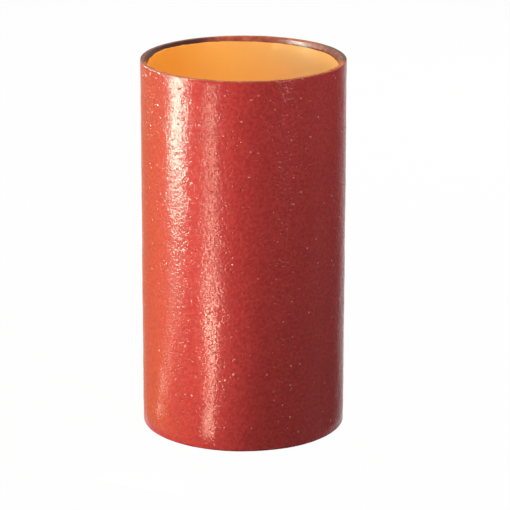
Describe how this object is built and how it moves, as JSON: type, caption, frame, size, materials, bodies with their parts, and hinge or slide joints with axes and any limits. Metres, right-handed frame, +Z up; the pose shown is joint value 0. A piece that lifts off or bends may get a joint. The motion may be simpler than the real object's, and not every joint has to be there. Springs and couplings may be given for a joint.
{
  "type": "cast iron soil pipe",
  "caption": "Short cut length of hubless cast iron soil pipe, standing on end, with a red primed outside, a smooth ochre lining and chamfered mouths.",
  "frame": {"origin": "on the pipe's axis, in the middle of its lower end, level with the floor that it stands on", "axes": "+Z up along the pipe's axis, from the lower end to the upper; the pipe is round, so X and Y are any two square directions"},
  "size_m": [0.11, 0.11, 0.203],
  "materials": {
    "coated_cast_iron": "red-brown primer over a finely wrinkled casting skin outside and on the cut ends, smooth glossy ochre epoxy in the bore"
  },
  "bodies": {
    "root": {"pipe": "coated_cast_iron"}
  },
  "joints": []
}
